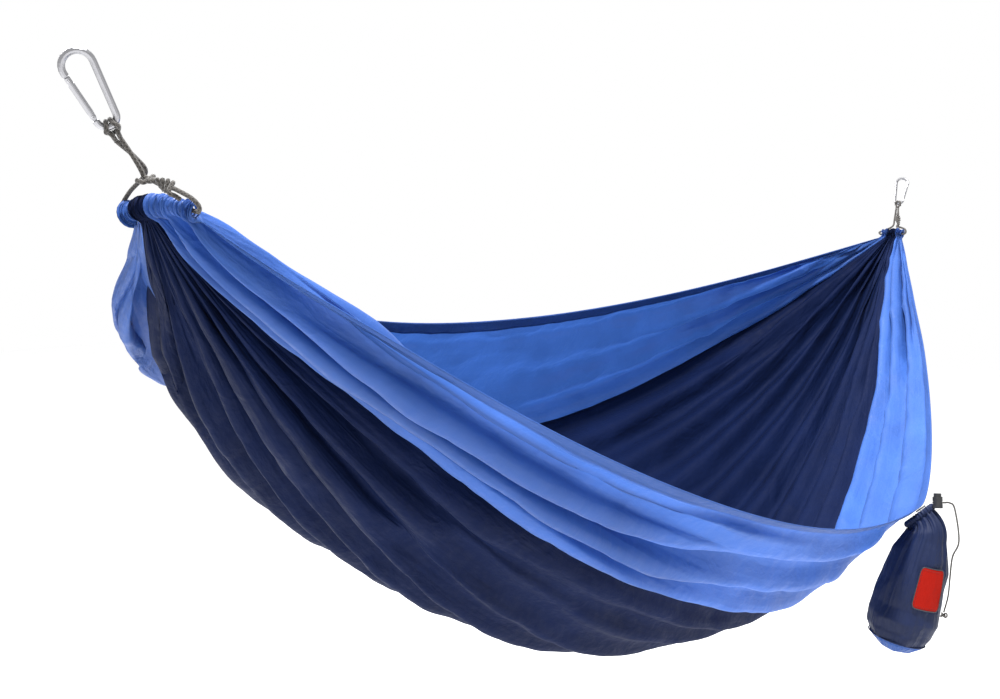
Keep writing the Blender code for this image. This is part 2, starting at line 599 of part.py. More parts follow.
def cord_lock(slide, black, steel):
    """Barrel, button and spring. Local X is the cords' direction and local Y the button's."""
    inner_radius, half_width, through = LOCK_RADIUS - LOCK_WALL, LOCK_SLOT_HALF_WIDTH, 0.02
    low, high = -LOCK_LENGTH / 2, LOCK_LENGTH / 2
    barrel = cylinder("cord_lock_barrel", LOCK_RADIUS, (0, low, 0), (0, high, 0), black, slide, 24)
    bore_ends = (0, low + LOCK_FLOOR, 0), (0, high + 0.01, 0)
    boolean(barrel, cylinder("barrel_bore", inner_radius, *bore_ends, black, slide, 24), "DIFFERENCE")
    cord_slot = (-through, -0.0021, -half_width), (through, 0.0021, half_width)
    boolean(barrel, block("cord_slot", *cord_slot, black, slide), "DIFFERENCE")
    press = add_empty("button_slide", Matrix.Identity(4), slide)
    button_ends = (0, low + 0.0075, 0), (0, high + 0.006, 0)
    button = cylinder("cord_lock_button", inner_radius - GAP, *button_ends, black, press, 24)
    button_slot = (-through, -0.0019, -half_width), (through, 0.0019 + BUTTON_TRAVEL, half_width)
    boolean(button, block("button_slot", *button_slot, black, press), "DIFFERENCE")
    spring = helix(radius=0.0045, start=low + LOCK_FLOOR + 0.0008, length=0.0038, turns=3, points_a_turn=12)
    coil = [Vector((p.y, p.x, p.z)) for p in spring]
    tube("cord_lock_spring", coil, 0.00045, steel, 6, slide)


def main():
    clear_scene()
    panels()
    for end, gate_side in ((HEAD, 1), (FOOT, -1)):
        suspension(end)
        carabiner(end, gate_side)
    stuff_sack()


main()
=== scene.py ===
"""The looks of the camping hammock: its cloth, ropes, carabiners and stuff sack, built round the
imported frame. Metres, +Z up; the origin is the head anchor and +X runs to the foot anchor."""

import json
import math

import bmesh
import bpy
import numpy as np
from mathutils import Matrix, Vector


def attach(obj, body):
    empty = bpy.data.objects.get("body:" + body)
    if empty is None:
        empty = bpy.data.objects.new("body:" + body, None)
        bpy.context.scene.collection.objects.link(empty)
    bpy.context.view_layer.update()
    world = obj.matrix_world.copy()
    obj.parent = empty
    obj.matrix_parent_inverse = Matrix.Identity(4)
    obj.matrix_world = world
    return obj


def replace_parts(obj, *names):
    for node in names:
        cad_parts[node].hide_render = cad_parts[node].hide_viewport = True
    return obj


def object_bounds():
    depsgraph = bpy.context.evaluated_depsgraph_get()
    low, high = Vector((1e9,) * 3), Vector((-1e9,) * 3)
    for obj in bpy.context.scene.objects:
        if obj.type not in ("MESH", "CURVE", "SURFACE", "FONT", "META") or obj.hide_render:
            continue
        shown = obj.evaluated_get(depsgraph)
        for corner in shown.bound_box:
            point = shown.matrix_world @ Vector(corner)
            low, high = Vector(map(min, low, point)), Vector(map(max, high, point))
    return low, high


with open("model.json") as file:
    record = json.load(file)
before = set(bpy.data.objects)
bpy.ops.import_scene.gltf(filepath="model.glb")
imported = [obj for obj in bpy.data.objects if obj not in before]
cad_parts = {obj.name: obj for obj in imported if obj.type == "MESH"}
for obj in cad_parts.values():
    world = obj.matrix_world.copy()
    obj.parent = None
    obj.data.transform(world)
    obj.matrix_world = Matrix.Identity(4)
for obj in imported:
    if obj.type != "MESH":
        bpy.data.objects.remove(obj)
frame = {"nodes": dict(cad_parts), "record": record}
CAD_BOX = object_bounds()

# The hang. It repeats the CAD's dimensions, except where a comment says otherwise
SPAN = 2.77
HEAD_PULL, FOOT_PULL = math.radians(56), math.radians(61)
CARABINER_LENGTH, WIRE = 0.090, 0.00375
SWING_AXIS, ROPE_DROP = -0.008, 0.067
CHANNEL_RISE = 0.17
CLOTH_BELOW_ROPE = 0.0085  # where the cloth starts; the CAD's starts lower, under its sleeve
NARROW_BEND = 0.0105
ROPE_RADIUS, KNOT_LENGTH = 0.0025, 0.032
WIDTH_SHARES = np.array((0.0, 0.21, 0.56, 0.78, 1.0))
BACK_SEAM, FRONT_SEAM = WIDTH_SHARES[1], WIDTH_SHARES[3]
MID_SECTION = np.array(
    ((0.441, -0.216), (0.563, -0.501), (0.086, -0.815), (-0.201, -0.738), (-0.451, -0.513))
)
HEAD_SAGS, FOOT_SAGS = (2.1, 2.8, 2.15, 1.61, 2.3), (2.1, 2.8, 2.15, 1.61, 1.3)

# The cloth
FLAT_WIDTH, FLAT_LENGTH = 1.55, 3.10
COLUMNS, ROWS = 300, 400
PANEL_COLUMNS = {"back": 120, "centre": 200, "front": 120}
# How many times its hung width the cloth has, at distances from a gather
RATIO_AWAY = (0.0, 0.06, 0.15, 0.30, 0.45, 0.60, 0.80, 1.00, 1.55)
RATIOS = (3.8, 3.6, 2.9, 2.0, 1.48, 1.24, 1.09, 1.04, 1.012)
HEAD_DROOP = np.array((-0.016, 0.060, -0.034))  # of the slack back panel beside the head gather
GATHER_PLEATS, NEAR_PLEATS, MID_PLEATS = 42, 28, 17  # across the whole width
FRONT_FOLDS = 3.5  # long folds across the front panel, towards the head
FOLD_DEPTH = 0.020  # of those folds, over what the spare cloth makes of them
BACK_CREASE = 0.006  # the depth of the long crease beside the back hem
BACK_CREASE_INWARD, BACK_CREASE_WIDTH = 0.05, 0.011
CRUMPLE = 0.0028  # the height of creases and dents
RELAX_STEPS = 220
HEM_WIDTH, SEAM_WIDTH = 0.024, 0.008
HEM_PROFILE = np.array((1.0, 1.1, 1, 1, 1, 1, 0.5))  # thickness from the free edge inwards
SEAM_PROFILE = np.array((0.5, 1, 1, 1, 1, 1, 0.5))
BAND_HALF_THICKNESS, BAND_STITCH_LIFT = 0.0007, 0.0008
WRAP_ROWS, WRAP_ANGLE, WRAP_RADIUS = 14, math.radians(285), 0.0055
STITCH, STITCH_RADIUS = 0.0036, 0.0003

RANDOM = np.random.default_rng(7)


# --- Small helpers ---------------------------------------------------------------------------

def unit(vectors):
    return vectors / np.maximum(np.linalg.norm(vectors, axis=-1, keepdims=True), 1e-12)


def add_piece(name, mesh, slot, body):
    """A new piece with a slot's look, which rides on a body."""
    piece = bpy.data.objects.new(name, mesh)
    bpy.context.scene.collection.objects.link(piece)
    mesh.materials.append(LOOKS[slot])
    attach(piece, body)
    return piece


def grid_mesh(name, points, closed=False, uv=None, capped=False):
    """A smooth mesh of quads over rows of points; closed joins each row's end to its start."""
    rows, columns = points.shape[:2]
    index = np.arange(rows * columns).reshape(rows, columns)
    across = np.concatenate([index, index[:, :1]], axis=1) if closed else index
    corners = [across[:-1, :-1], across[:-1, 1:], across[1:, 1:], across[1:, :-1]]
    quads = np.stack(corners, axis=-1).reshape(-1, 4)
    faces = quads.tolist()
    if capped:
        faces += [index[0, ::-1].tolist(), index[-1].tolist()]
    mesh = bpy.data.meshes.new(name)
    mesh.from_pydata(points.reshape(-1, 3).tolist(), [], faces)
    if uv is not None:
        layer = mesh.uv_layers.new(name="cloth")
        corner_points = np.concatenate([np.ravel(face) for face in faces])
        layer.data.foreach_set("uv", uv.reshape(-1, 2)[corner_points].astype(np.float32).ravel())
    mesh.shade_smooth()
    return mesh


def eased(values, start, stop):
    """0 before start and 1 after stop, or the other way round if stop is less."""
    t = np.clip((values - start) / (stop - start), 0, 1)
    return t * t * (3 - 2 * t)


def catmull_rom(knots, steps):
    """Points on a smooth curve through the knots, steps to each stretch."""
    knots = np.asarray(knots, float)
    ends = np.concatenate([[2 * knots[0] - knots[1]], knots, [2 * knots[-1] - knots[-2]]])
    t = (np.arange(steps) / steps)[:, None]
    line = []
    for a, b, c, d in zip(ends, ends[1:], ends[2:], ends[3:]):
        line.append(
            0.5 * (2 * b + (c - a) * t + (2 * a - 5 * b + 4 * c - d) * t**2
                   + (3 * b - a - 3 * c + d) * t**3)
        )
    return np.concatenate([*line, knots[-1:]])


def evenly(line, step):
    """The line again, with points about step apart."""
    at = np.concatenate([[0], np.cumsum(np.linalg.norm(np.diff(line, axis=0), axis=1))])
    even = np.linspace(0, at[-1], max(2, round(at[-1] / step) + 1))
    return np.stack([np.interp(even, at, line[:, k]) for k in range(3)], axis=1)


def rings_round(line, radii, sides):
    """A ring of points round each point of the line, carried along it without twist."""
    ahead = unit(np.gradient(line, axis=0))
    side = np.array(Vector(ahead[0]).orthogonal().normalized())
    turns = 2 * np.pi * np.arange(sides) / sides
    radii = np.broadcast_to(radii, (len(line), sides))
    rings = []
    for point, forward, radius in zip(line, ahead, radii):
        side = unit(side - forward * side.dot(forward))
        other = np.cross(forward, side)
        rings.append(point + radius[:, None] * (
            np.cos(turns)[:, None] * side + np.sin(turns)[:, None] * other))
    return np.array(rings)


# --- Materials -------------------------------------------------------------------------------

class Nodes:
    """A material's node tree, with short ways to add and join nodes."""

    def __init__(self, name, colour, roughness, metallic=0.0):
        self.material = bpy.data.materials.new(name)
        self.material.use_nodes = True
        self.tree = self.material.node_tree
        self.shader = self.tree.nodes["Principled BSDF"]
        self.set("Base Color", (*colour, 1))
        self.set("Roughness", roughness)
        self.set("Metallic", metallic)
        self.normal = None

    def set(self, socket, value):
        self.shader.inputs[socket].default_value = value

    def add(self, kind, **values):
        node = self.tree.nodes.new(kind)
        for name, value in values.items():
            if name in node.inputs:
                node.inputs[name].default_value = value
            else:
                setattr(node, name, value)
        return node

    def join(self, source, target):
        self.tree.links.new(source, target)

    def coordinates(self, scale, cloth=True):
        """Cloth coordinates in metres, u across and v along, or object ones, times scale."""
        if cloth:
            source = self.add("ShaderNodeUVMap", uv_map="cloth").outputs["UV"]
        else:
            source = self.add("ShaderNodeTexCoord").outputs["Object"]
        mapping = self.add("ShaderNodeMapping", Scale=scale)
        self.join(source, mapping.inputs["Vector"])
        return mapping.outputs["Vector"]

    def noise(self, where, detail=3.0, distortion=0.0):
        node = self.add("ShaderNodeTexNoise", Detail=detail, Distortion=distortion)
        node.inputs["Scale"].default_value = 1.0
        self.join(where, node.inputs["Vector"])
        return node.outputs["Fac"]

    def math(self, operation, a, b=None):
        node = self.add("ShaderNodeMath", operation=operation)
        for socket, value in zip(node.inputs, (a, b)):
            if isinstance(value, (int, float)):
                socket.default_value = value
            elif value is not None:
                self.join(value, socket)
        return node.outputs[0]

    def ridges(self, where, detail=3.0, distortion=0.0):
        """Sharp crease lines: the distance of a noise from its middle value."""
        from_middle = self.math("SUBTRACT", self.noise(where, detail, distortion), 0.5)
        return self.math("ABSOLUTE", from_middle)

    def bump(self, height, distance, strength=1.0):
        node = self.add("ShaderNodeBump", Distance=distance)
        if isinstance(strength, (int, float)):
            node.inputs["Strength"].default_value = strength
        else:
            self.join(strength, node.inputs["Strength"])
        self.join(height, node.inputs["Height"])
        if self.normal is not None:
            self.join(self.normal, node.inputs["Normal"])
        self.normal = node.outputs["Normal"]
        self.join(self.normal, self.shader.inputs["Normal"])

    def let_through(self, share):
        """Mixes in light from the far side, in the shader's own colour and relief."""
        glow = self.add("ShaderNodeBsdfTranslucent")
        for name, target in (("Base Color", "Color"), ("Normal", "Normal")):
            if self.shader.inputs[name].is_linked:
                self.join(self.shader.inputs[name].links[0].from_socket, glow.inputs[target])
        mix = self.add("ShaderNodeMixShader", Fac=share)
        self.join(self.shader.outputs[0], mix.inputs[1])
        self.join(glow.outputs[0], mix.inputs[2])
        self.join(mix.outputs[0], self.tree.nodes["Material Output"].inputs["Surface"])

    def ramp(self, value, socket, low, high, start=0.3, stop=0.7):
        """Drives a socket from low to high as value goes from start to stop."""
        node = self.add("ShaderNodeValToRGB")
        stops = zip(node.color_ramp.elements, (start, stop), (low, high))
        for element, position, shade in stops:
            element.position = position
            element.color = shade if isinstance(shade, tuple) else (shade, shade, shade, 1)
        self.join(value, node.inputs["Fac"])
        self.join(node.outputs["Color"], self.shader.inputs[socket])


def tinted(colour, factor):
    return tuple(min(c * factor, 1.0) for c in colour) + (1.0,)


def nylon(name, colour, gloss=0.32, thin=0.3):
    """Thin crinkled nylon: long creases off the gathers, crumpling, and a fine plain weave. thin is
    the share of light that comes through from the far side."""
    nodes = Nodes(name, colour, 0.46)
    nodes.set("Sheen Weight", gloss * 0.1)
    nodes.set("Sheen Roughness", 0.4)
    nodes.set("Specular IOR Level", gloss)
    gathered = nodes.add("ShaderNodeAttribute", attribute_name="gathered").outputs["Fac"]
    nodes.bump(nodes.ridges(nodes.coordinates((42, 2.2, 1)), 2, 0.25), 0.011, gathered)
    nodes.bump(nodes.ridges(nodes.coordinates((24, 13, 1)), 3, 0.8), 0.0045, 0.75)
    nodes.bump(nodes.noise(nodes.coordinates((130, 75, 1)), 3, 0.3), 0.0013, 0.7)
    weave = nodes.add("ShaderNodeTexChecker", Scale=1.0)
    nodes.join(nodes.coordinates((1250, 1250, 1)), weave.inputs["Vector"])
    nodes.bump(weave.outputs["Fac"], 0.00005, 0.35)
    tone = nodes.noise(nodes.coordinates((9, 5, 1)), 6)
    nodes.ramp(tone, "Base Color", tinted(colour, 0.86), tinted(colour, 1.14))
    rough = 0.66 - gloss * 0.5
    rubbed = nodes.noise(nodes.coordinates((60, 60, 1)), 2)
    nodes.ramp(rubbed, "Roughness", rough - 0.06, rough + 0.1)
    if thin > 0:
        nodes.let_through(thin)
    return nodes.material


def braid(name, colour, diameter):
    """Braided cord: crossing strands as bumps, with painted shade in the hollows between them and
    painted light on their crests, and a fine fuzz over it as bumps.
    """
    nodes = Nodes(name, colour, 0.8)
    nodes.set("Sheen Weight", 0.3)
    along = nodes.coordinates((1 / diameter, 1 / diameter, 1))
    parts = nodes.add("ShaderNodeSeparateXYZ")
    nodes.join(along, parts.inputs["Vector"])
    heights = []
    for sign in (1, -1):
        lean = nodes.math("MULTIPLY", parts.outputs["Y"], sign * 1.6)
        turned = nodes.math("ADD", nodes.math("MULTIPLY", parts.outputs["X"], 2.0), lean)
        heights.append(nodes.math("SINE", nodes.math("MULTIPLY", turned, 4.0)))
    strands = nodes.math("MAXIMUM", heights[0], heights[1])
    nodes.bump(strands, diameter * 0.05)
    # Painted shade and light: by strand height, the base colour darkens to 0.45 in the hollows between
    # strands and lightens to 1.3 on their crests.
    nodes.ramp(strands, "Base Color", tinted(colour, 0.45), tinted(colour, 1.3), 0.1, 0.9)
    fuzz = nodes.noise(nodes.coordinates((3000, 3000, 3000), cloth=False), 2)
    nodes.bump(fuzz, 0.0001, 0.5)
    return nodes.material


def metal(name, colour, roughness):
    """Bare steel: fine scratches along it, and handling wear in its gloss."""
    nodes = Nodes(name, colour, roughness, 1.0)
    scratches = nodes.noise(nodes.coordinates((900, 900, 160), cloth=False), 4)
    nodes.bump(scratches, 0.00004, 0.4)
    worn = nodes.noise(nodes.coordinates((140, 140, 140), cloth=False), 4)
    nodes.ramp(worn, "Roughness", roughness * 0.75, roughness * 1.35)
    return nodes.material


def moulded(name, colour):
    """A matt surface with a fine grain: moulded plastic, and webbing at its size here."""
    nodes = Nodes(name, colour, 0.42)
    grain = nodes.noise(nodes.coordinates((2500, 2500, 2500), cloth=False), 2)
    nodes.bump(grain, 0.00004, 0.5)
    patches = nodes.noise(nodes.coordinates((200, 200, 200), cloth=False))
    nodes.ramp(patches, "Roughness", 0.34, 0.52)
    return nodes.material


BLUE, NAVY, SACK_NAVY = (0.031, 0.096, 0.345), (0.0034, 0.0082, 0.036), (0.0055, 0.0115, 0.042)
LOOKS = {
    "side_nylon": nylon("side_nylon_look", BLUE),
    "centre_nylon": nylon("centre_nylon_look", NAVY, 0.06, 0.12),
    "sack_nylon": nylon("sack_nylon_look", SACK_NAVY, 0.2, 0.0),
    "rope": braid("rope_look", (0.042, 0.037, 0.032), 0.005),
    "drawcord": braid("drawcord_look", (0.036, 0.032, 0.028), 0.003),
    "steel": metal("steel_look", (0.30, 0.30, 0.315), 0.26),
    "lock_plastic": moulded("lock_plastic_look", (0.012, 0.012, 0.014)),
    "webbing": moulded("webbing_look", (0.015, 0.017, 0.024)),
    "label": nylon("label_look", (0.26, 0.007, 0.003), 0.06, 0.0),
}


# --- The hang --------------------------------------------------------------------------------

class End:
    """One end of the hammock: its anchor, the direction of its pull, and its gather. width and
    centre are the channel's half width and middle, and angles are the places of the five lines
    along it."""

    def __init__(self, name, anchor, towards, pull, roll, width, centre, knot_lean, angles):
        self.name, self.anchor = name, np.array(anchor, float)
        self.pull = np.array((towards * math.cos(pull), 0, math.sin(pull)))
        self.front = np.array((0.0, -1.0, 0.0))
        self.footward = np.cross(self.pull, self.front)
        self.width, self.centre, self.knot_lean, self.angles = width, centre, knot_lean, angles
        side = np.array((0.0, 1.0, 0.0))
        self.across = side * math.cos(roll) + np.cross(self.pull, side) * math.sin(roll)
        seat = CARABINER_LENGTH - 2 * WIRE
        self.swing = self.anchor + self.pull * (SWING_AXIS - seat)
        self.gather = self.swing - self.pull * ROPE_DROP

    def place(self, front, pull, footward=0.0):
        return self.gather + self.front * front + self.pull * pull + self.footward * footward

    def channel(self, degrees, below=0.0):
        """Points on the channel's low arch, or below it: 0 degrees is its front mouth and 180 its
        back one."""
        angle = np.radians(np.asarray(degrees, float))[..., None]
        rise = CHANNEL_RISE * self.width * np.sin(angle) ** 2
        front = self.centre[0] + self.width * np.cos(angle)
        return self.place(front, self.centre[1] + rise - below)


# The head's seams lie a few degrees from the CAD's, which has them at 140, 118 and 95
HEAD = End("head", (0, 0, 0), towards=-1, pull=HEAD_PULL, roll=math.radians(53), width=0.051,
           centre=(0.005, -0.024), knot_lean=math.radians(24), angles=(180, 131, 117, 103, 0))
FOOT = End("foot", (SPAN, 0, 0), towards=1, pull=FOOT_PULL, roll=math.radians(15), width=0.026,
           centre=(0.0, -0.020), knot_lean=math.radians(76), angles=(180, 118, 92, 68, 0))


def between_lines(values, at):
    """Values at shares of the width, on the smooth curve through those of the five lines."""
    values, at = np.asarray(values, float), np.asarray(at, float)
    last = len(WIDTH_SHARES) - 1
    node = np.arange(last + 1)
    low, high = np.maximum(node - 1, 0), np.minimum(node + 1, last)
    run = WIDTH_SHARES[high] - WIDTH_SHARES[low]
    slopes = (values[high] - values[low]) / (run[:, None] if values.ndim > 1 else run)
    i = np.clip(np.searchsorted(WIDTH_SHARES, at) - 1, 0, last - 1)
    width = WIDTH_SHARES[i + 1] - WIDTH_SHARES[i]
    t = (at - WIDTH_SHARES[i]) / width
    if values.ndim > 1:
        t, width = t[..., None], width[..., None]
    return (values[i] * (1 + 2 * t) * (1 - t) ** 2 + slopes[i] * width * t * (1 - t) ** 2
            + values[i + 1] * t**2 * (3 - 2 * t) + slopes[i + 1] * width * t**2 * (t - 1))


def hung_surface(across, along):
    """The smooth hung fabric: across is 0 at the back edge and 1 at the front one, and along is -1
    at the head channel and 1 at the foot channel. Returns points by row of along."""
    head = HEAD.channel(between_lines(HEAD.angles, across), CLOTH_BELOW_ROPE)
    foot = FOOT.channel(between_lines(FOOT.angles, across), CLOTH_BELOW_ROPE)
    mid = between_lines(MID_SECTION, across)
    power = np.where(along[:, None] < 0, between_lines(HEAD_SAGS, across)[None],
                     between_lines(FOOT_SAGS, across)[None])
    middle = (head + foot) / 2
    low = np.stack([middle[:, 0], mid[:, 0], HEAD.gather[2] + mid[:, 1]], axis=1)
    share = ((1 + along) / 2)[:, None, None]
    sag = (1 - np.abs(along)[:, None] ** power)[..., None]
    away = FLAT_LENGTH / 2 * (1 - np.abs(along))[:, None]
    slack = eased(away, 0.0, 0.16) * eased(away, 0.56, 0.24) * (along < 0)[:, None]
    slack = slack * np.sin(np.pi * np.clip(across / BACK_SEAM, 0, 1))[None] ** 1.3
    return head + (foot - head) * share + (low - middle) * sag + slack[..., None] * HEAD_DROOP


def even_rows(surface, rows):
    """The surface with each line along it cut into rows of equal length."""
    steps = np.linalg.norm(np.diff(surface, axis=0), axis=2)
    at = np.concatenate([np.zeros((1, surface.shape[1])), np.cumsum(steps, axis=0)])
    even = np.empty((rows + 1, surface.shape[1], 3))
    for k in range(surface.shape[1]):
        wanted = np.linspace(0, at[-1, k], rows + 1)
        for axis in range(3):
            even[:, k, axis] = np.interp(wanted, at[:, k], surface[:, k, axis])
    return even, at[-1]


def surface_normals(points):
    """Unit normals on the side away from the person in the hammock."""
    return unit(np.cross(np.gradient(points, axis=1), np.gradient(points, axis=0)))


# --- Cloth that is wider than its hang --------------------------------------------------------

def smooth_noise(count, bumps, rng):
    """A smooth random line of count values between about -1 and 1, with so many bumps."""
    knots = rng.uniform(-1, 1, bumps + 3)
    at = np.linspace(1, bumps + 1, count)
    i = np.floor(at).astype(int)
    t = at - i
    t = t * t * (3 - 2 * t)
    return knots[i] * (1 - t) + knots[np.minimum(i + 1, bumps + 2)] * t


def pleat_wave(across, pleats, rng):
    """An uneven accordion wave across the width."""
    phase = pleats * across + 0.45 * smooth_noise(len(across), pleats // 2, rng)
    height = 1 + 0.55 * smooth_noise(len(across), pleats, rng)
    return np.sin(2 * np.pi * phase) * height


def first_folds(base, across, ratio):
    """How far each point starts off the smooth surface, so that the spare width has folds to go to:
    fine pleats at the gathers, fewer and longer ones further on, and the front panel's folds."""
    rows = len(base)
    along = np.linspace(-1, 1, rows)[:, None]
    away = FLAT_LENGTH / 2 * (1 - np.abs(along))
    spare = np.sqrt(np.clip(1 - 1 / ratio**2, 0, 1))
    heights = np.zeros(base.shape[:2])
    families = ((GATHER_PLEATS, eased(away, 0.45, 0.05)),
                (NEAR_PLEATS, eased(away, 0.05, 0.35) * eased(away, 1.0, 0.5)),
                (MID_PLEATS, eased(away, 0.5, 1.0)))
    total = sum(weight for _, weight in families)
    for towards_foot in (False, True):
        near = (along > 0) == towards_foot
        for pleats, weight in families:
            wave = pleat_wave(across, pleats, RANDOM)
            heights += np.where(near, weight / total * wave * FLAT_WIDTH / pleats / 4 * spare, 0)
    heights *= eased(away, FLAT_LENGTH / 2, FLAT_LENGTH / 2 - 0.35)
    long_wave = front_fold_shape(across)
    length = FLAT_WIDTH * (1 - FRONT_SEAM) / FRONT_FOLDS
    share = front_fold_share(across, along)
    return heights * (1 - share) + share * long_wave * length / 4 * np.sqrt(np.clip(spare, 0.5, 1))


def front_fold_share(across, along):
    """How much of the front panel's long folds there is at each place, from 0 to 1."""
    away = FLAT_LENGTH / 2 * (1 - np.abs(along))
    headwards = eased(away, 0.06, 0.30) * eased(away, 1.25, 0.75) * (along < 0)
    footwards = 0.8 * eased(away, 0.06, 0.25) * eased(away, 0.75, 0.45) * (along >= 0)
    return (headwards + footwards) * eased(across, FRONT_SEAM - 0.02, FRONT_SEAM + 0.02)


def front_fold_shape(across):
    """The long folds' section: rounded crests, sharp valleys, and a smooth band at the hem."""
    inward = np.clip((1 - across) / (1 - FRONT_SEAM), 0, None)
    places = (0.0, 0.10, 0.16, 0.27, 0.36, 0.50, 0.62, 0.78, 0.90, 1.0, 1.2)
    heights = (0.3, 0.35, -1.0, 0.75, -1.0, 0.9, -1.0, 1.0, -0.5, 0.0, 0.0)
    i = np.clip(np.searchsorted(places, inward, side="right") - 1, 0, len(places) - 2)
    places, heights = np.array(places), np.array(heights)
    t = (inward - places[i]) / (places[i + 1] - places[i])
    rising = heights[i + 1] > heights[i]
    bend = np.where(rising, np.sin(t * np.pi / 2), 1 - np.cos(t * np.pi / 2))
    return heights[i] + (heights[i + 1] - heights[i]) * np.clip(bend, 0, 1)


def crumples(rows, columns):
    """Creases and dents of slept-in nylon, as heights off the cloth: noise that is folded sharply
    at its middle, drawn out along the hammock."""
    total = np.zeros((rows, columns))
    for along, wide, height in ((16, 6, 1.0), (7, 4, 0.6), (4, 9, 0.6), (3, 2, 0.3)):
        noise = RANDOM.normal(size=(rows + 80, columns + 80))
        for _ in range(3):
            noise = blurred(noise, along, wide)
        noise = noise[40:-40, 40:-40] / noise.std()
        total += height * (0.8 - np.abs(noise))
    return total * CRUMPLE


def tighten(a, b, rest, push):
    """Moves both ends of each piece of thread so that it has its rest length. Thread that is too
    short gives way more easily, by push."""
    gap = b - a
    stretch = 1 - rest / np.sqrt((gap * gap).sum(-1, keepdims=True) + 1e-12)
    gap *= np.where(stretch < 0, stretch * push, stretch) * 0.5
    a += gap
    b -= gap


def blurred(values, rows, columns):
    """The running mean of values over a window of rows by columns."""
    for axis, half in ((0, rows), (1, columns)):
        padded = np.concatenate([
            np.repeat(np.take(values, [0], axis), half + 1, axis), values,
            np.repeat(np.take(values, [-1], axis), half, axis)], axis)
        total = np.cumsum(padded, axis, dtype=np.float64)
        width = 2 * half + 1
        length = values.shape[axis]
        values = (np.take(total, range(width, width + length), axis)
                  - np.take(total, range(length), axis)) / width
    return values


def relax(cloth, base, rest, rest_along):
    """Lets the cloth find its folds: threads keep their length, folds unbend, and what isn't a
    fold goes back to the smooth hang. The first and last rows stay where they are."""
    ends = cloth[0].copy(), cloth[-1].copy()
    rows, columns = cloth.shape[:2]
    column = np.arange(columns)
    hold = np.where(np.minimum(column, column[::-1]) < 5, 0.10, 0.0)[None, :, None]
    across_rest = rest[..., None]
    along_rest = np.broadcast_to(rest_along, (rows, columns))[..., None]
    drift = 0.0
    for step in range(RELAX_STEPS):
        for start in (0, 1):
            stop = start + 2 * ((columns - start) // 2)
            tighten(cloth[:, start:stop:2], cloth[:, start + 1:stop:2],
                    across_rest[:, start:stop - 1:2], 0.5)
            stop = start + 2 * ((rows - start) // 2)
            tighten(cloth[start:stop:2], cloth[start + 1:stop:2], along_rest[start:stop - 1:2], 0.8)
        cloth[:, 1:-1] += 0.10 * ((cloth[:, :-2] + cloth[:, 2:]) / 2 - cloth[:, 1:-1])
        cloth[1:-1] += 0.35 * ((cloth[:-2] + cloth[2:]) / 2 - cloth[1:-1])
        off = cloth - base
        if step % 4 == 0:
            drift = blurred(off, 10, 14)
        cloth -= 0.10 * drift + hold * off
        cloth[0], cloth[-1] = ends
    return cloth


def hung_cloth():
    """The whole cloth as a grid of points, from the head channel to the foot channel."""
    across = np.linspace(0, 1, COLUMNS)
    smooth = hung_surface(across, np.linspace(-1, 1, 4 * ROWS + 1))
    base, lengths = even_rows(smooth, ROWS)
    flat = FLAT_WIDTH / (COLUMNS - 1)
    widths = np.linalg.norm(np.diff(base, axis=1), axis=2)
    away = FLAT_LENGTH / 2 * (1 - np.abs(np.linspace(-1, 1, ROWS + 1)))[:, None]
    along = np.linspace(-1, 1, ROWS + 1)[:, None]
    most = np.interp(away, RATIO_AWAY, RATIOS)
    most = np.maximum(most, 1 + 0.5 * front_fold_share(across[1:], along))
    rest = np.minimum(flat * 1.01, widths * most)
    ratio = np.concatenate([rest / widths, rest[:, -1:] / widths[:, -1:]], axis=1)
    ratio = np.maximum(blurred(ratio, 2, 6), 1.0)
    cloth = base + surface_normals(base) * first_folds(base, across, ratio)[..., None]
    cloth = relax(cloth, base, rest, (lengths / ROWS)[None, :])
    edge = np.minimum(np.arange(COLUMNS), np.arange(COLUMNS)[::-1])
    flatter = eased(edge, 2, 8) * eased(away, 0.01, 0.12)
    relief = crumples(*cloth.shape[:2]) * flatter
    relief *= 1 + 0.9 * eased(across, BACK_SEAM, BACK_SEAM * 0.6)
    from_crease = (across * FLAT_WIDTH - BACK_CREASE_INWARD) / BACK_CREASE_WIDTH
    relief -= BACK_CREASE * np.exp(-from_crease ** 2) * eased(away, 0.1, 0.5)
    relief += FOLD_DEPTH * front_fold_share(across, along) * front_fold_shape(across)
    return cloth + surface_normals(blurred(cloth, 2, 2)) * relief[..., None]


def wrapped_rows(end, row, turn):
    """Rows that carry the cloth's end row on round the rope, and back to the hammock's side."""
    across = np.linspace(0, 1, COLUMNS)
    rope = end.channel(between_lines(end.angles, across))
    arm = row - rope
    along = unit(np.gradient(rope, axis=0))
    arm -= (arm * along).sum(1, keepdims=True) * along
    reach = np.linalg.norm(arm, axis=1)
    side = np.cross(along, unit(arm))
    rows = []
    for share in np.linspace(0, 1, WRAP_ROWS + 1)[1:]:
        angle = turn * WRAP_ANGLE * share
        radius = reach * (1 - share) + (WRAP_RADIUS + 0.55 * (reach - reach.min())) * share
        outward = unit(arm) * math.cos(angle) + side * math.sin(angle)
        rows.append(rope + radius[:, None] * outward + (row - rope - arm) * (1 - share))
    return np.array(rows)


def resampled(points, at):
    """The grid's columns at any fractional places, on smooth curves."""
    last = points.shape[1] - 1
    i = np.clip(np.floor(at).astype(int), 0, last - 1)
    t = (at - i)[None, :, None]
    a, b, c, d = (points[:, np.clip(i + k, 0, last)] for k in (-1, 0, 1, 2))
    return 0.5 * (2 * b + (c - a) * t + (2 * a - 5 * b + 4 * c - d) * t**2
                  + (3 * b - a - 3 * c + d) * t**3)


def flat_places(at, rows):
    """Each grid point's place on the flat cloth in metres, across and along."""
    across = np.broadcast_to(at / (COLUMNS - 1) * FLAT_WIDTH, (rows, len(at)))
    along = np.broadcast_to((np.arange(rows) * FLAT_LENGTH / ROWS)[:, None], (rows, len(at)))
    return np.stack([across, along], axis=-1)


